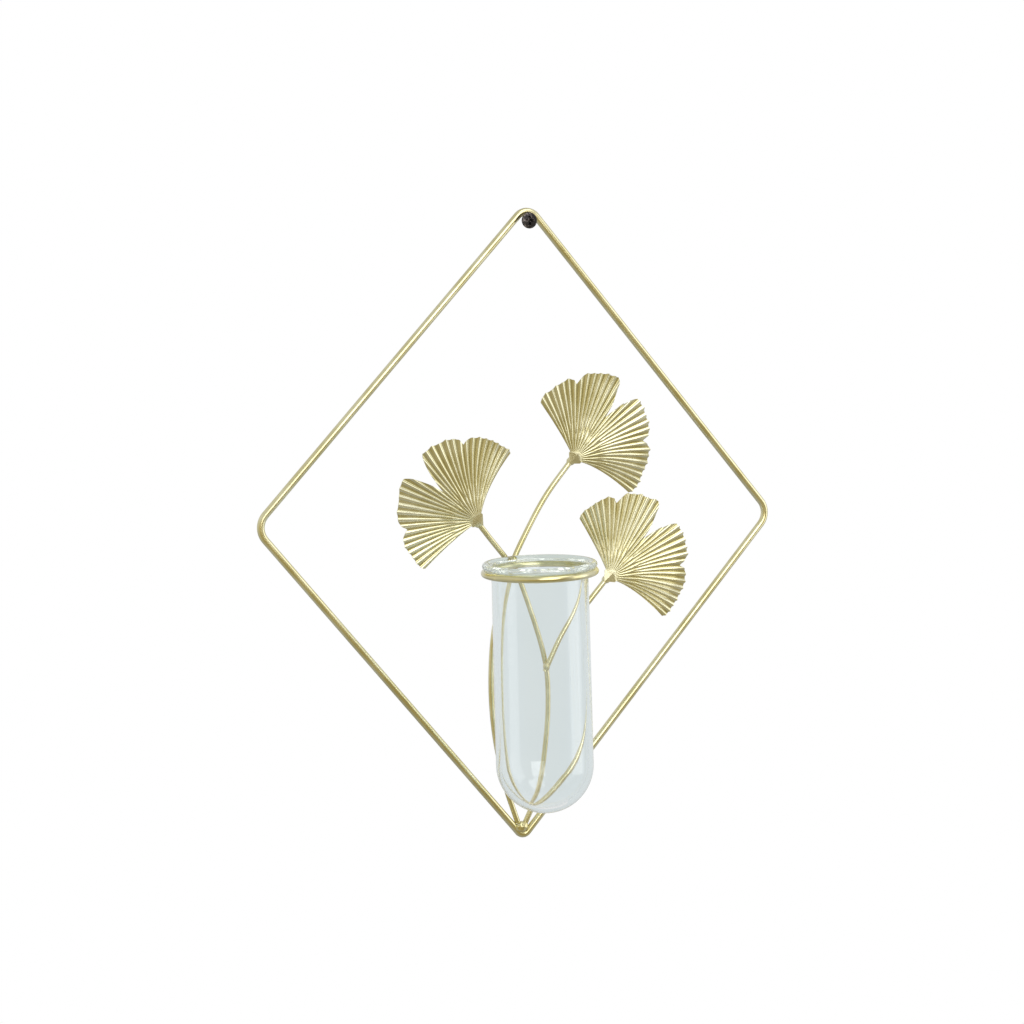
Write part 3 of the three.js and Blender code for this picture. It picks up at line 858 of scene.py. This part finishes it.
def light_studio():
    """White backdrop behind the vase, a dim studio in front of it and three soft lamps."""
    world = bpy.data.worlds.new("studio")
    world.use_nodes = True
    world.node_tree.nodes.clear()
    bpy.context.scene.world = world
    paths = bpy.context.scene.cycles
    paths.max_bounces = paths.glossy_bounces = paths.transmission_bounces = GLASS_BOUNCES
    start = Shade(world.node_tree)
    rays = start.node("ShaderNodeLightPath")
    camera_ray = rays.out("Is Camera Ray")
    through_glass = rays.out("Is Transmission Ray")
    seen = start.math("MAXIMUM", camera_ray, through_glass)
    way = start.node("ShaderNodeTexCoord").out("Generated")
    parts = start.node("ShaderNodeSeparateXYZ", None, {"Vector": way})
    right, depth, up = parts.out("X"), parts.out("Y"), parts.out("Z")
    horizon = up.above(-0.35, -0.1) * (1 - up.above(0.15, 0.45))
    backdrop = depth.above(0.1, 0.5) * horizon
    corner = start.node(
        "ShaderNodeVectorMath", {"operation": "DOT_PRODUCT"}, {0: way, 1: (0.41, -0.91, -0.05)}
    ).out("Value")
    dark = corner.above(0.95, 0.995)
    left = 1 - right.above(-0.9, -0.3)
    room = 0.45 + 0.25 * up.above(-0.5, 0.5) + 0.12 * right.above(0.3, 0.7)
    room = room + 0.15 * left - 0.22 * dark
    mirrored = room + backdrop * (0.8 - room)
    glossy = rays.out("Is Glossy Ray")
    level = glossy * mirrored + (1 - glossy) * 0.45
    strength = seen + (1 - seen) * level
    warm = (1 - depth.above(-0.8, 0.1)) * (1 - up.above(-0.1, 0.4)) * (1 - right.above(0.3, 0.6))
    colour = start.mix(warm * (1 - seen), (1, 1, 1, 1), (1, 0.86, 0.48, 1))
    colour = start.mix(dark * (1 - seen), colour, (1, 0.83, 0.43, 1))
    colour = start.mix(through_glass * (1 - camera_ray), colour, (0.7, 0.76, 0.77, 1))
    background = start.node("ShaderNodeBackground", None, {"Color": colour, "Strength": strength})
    start.node("ShaderNodeOutputWorld", None, {"Surface": background})
    for name, settings in LAMPS.items():
        soft_box(name, *settings)


def stage_sheet(name, half, place, finish):
    """A flat sheet of the stage at a place, with its front along the place's Z."""
    shape = bmesh.new()
    bmesh.ops.create_grid(
        shape, x_segments=SHEET_CELLS, y_segments=SHEET_CELLS, size=half, matrix=place
    )
    mesh = bpy.data.meshes.new(name)
    shape.to_mesh(mesh)
    shape.free()
    sheet = add_object(name, mesh)
    sheet.data.materials.append(finish)


add_camera()
light_studio()
floor_face = Matrix.Translation((0, 0, cad_box[0].z - FLOOR_DROP))
stage_sheet("floor", FLOOR_HALF, floor_face, pale_floor())
wall_face = Matrix.Translation(WALL_PATCH_MIDDLE + Vector((0, WALL_GAP, 0)))
wall_face = wall_face @ Matrix.Rotation(math.pi / 2, 4, "X")
stage_sheet("wall_patch", WALL_PATCH, wall_face, white_wall())

wire_gold = satin_gold("satin_gold_wire", WIRE_GOLD, False)
leaf_gold_and_sheen = satin_gold("satin_gold_leaf_painted_sheen", LEAF_GOLD_AND_SHEEN, True)

diamond = round_wire("diamond_wire", frame_line(), FRAME_WIRE, closed=True)
dress(diamond, wire_gold, "hanger", "satin_gold", "diamond_frame")

for side, leaf in LEAVES.items():
    line = stem_line(f"stem_{side}")
    line[0] += (line[0] - line[1]).normalized() * FOOT_TUCK
    stem = round_wire(f"stem_{side}_wire", line, STEM_WIRE, smooth=True)
    dress(stem, wire_gold, "hanger", "satin_gold", f"stem_{side}")
    sheet = leaf_sheet(f"leaf_{side}_pressed", leaf)
    seat = Matrix.Translation(line[-1])
    seat = seat @ Matrix.Rotation(math.radians(leaf["nod"]), 4, "X")
    seat = seat @ Matrix.Rotation(math.radians(leaf["turn"]), 4, "Y")
    seat = seat @ Matrix.Rotation(math.radians(leaf["roll"]), 4, "Z")
    sheet.transform(seat @ Matrix.Translation((0, -STEM_WIRE / 2 - SEAT_GAP, 0)))
    pressed = add_object(f"leaf_{side}_pressed", sheet, LEAF_SHARPNESS)
    dress(pressed, leaf_gold_and_sheen, "hanger", "satin_gold", f"leaf_{side}")
    middle, half = middle_and_half(f"leaf_{side}_weld")
    solder = weld_lump(f"leaf_{side}_solder", middle + SOLDER_SHIFT, half, SOLDER_RIPPLE)
    dress(solder, wire_gold, "hanger", "satin_gold", f"leaf_{side}_weld")

corner_middle, corner_half = middle_and_half("corner_weld")
corner_half.z *= CORNER_WELD_FLATNESS
branch_middle = stem_line("stem_right")[0] + BRANCH_BEAD_SHIFT
ring_middle, ring_half = middle_and_half("ring_weld")
welds = {
    "corner_weld": (corner_middle + CORNER_WELD_SHIFT, corner_half),
    "branch_weld": (branch_middle, BRANCH_BEAD / 2),
    "ring_weld": (ring_middle - RING_WELD_DROP, RING_WELD_SHARE * ring_half),
}
for name, (middle, half) in welds.items():
    lump = weld_lump(name + "_lump", middle, half, WELD_RIPPLE)
    dress(lump, wire_gold, "hanger", "satin_gold", name)

ring_low, ring_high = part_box("holder_ring")
ring_radius = (ring_high.y - ring_low.y) / 2 - RING_WIRE / 2
lift_axis = Vector(next(j["axis"] for j in frame["joints"] if j["name"] == "tube_lift"))
lean = Vector((0, 0, 1)).rotation_difference(lift_axis).to_matrix().to_4x4()
holder_place = Matrix.Translation((ring_low + ring_high) / 2) @ lean

ring_line = []
for step in range(RING_STEPS):
    angle = 2 * math.pi * step / RING_STEPS
    spot = Vector((ring_radius * math.cos(angle), ring_radius * math.sin(angle), 0))
    ring_line.append(holder_place @ spot)
ring = round_wire("holder_ring_wire", ring_line, RING_WIRE, closed=True)
dress(ring, wire_gold, "hanger", "satin_gold", "holder_ring")

blown = glass_tube(ring_radius)
blown.transform(holder_place)
dress(add_object("glass_tube_blown", blown), clear_glass(), "tube", "clear_glass", "glass_tube")

dress(hanging_screw(), black_phosphate(), "wall_fixing", "black_screw", "hanging_screw")

bpy.context.scene.view_settings.view_transform = "Standard"
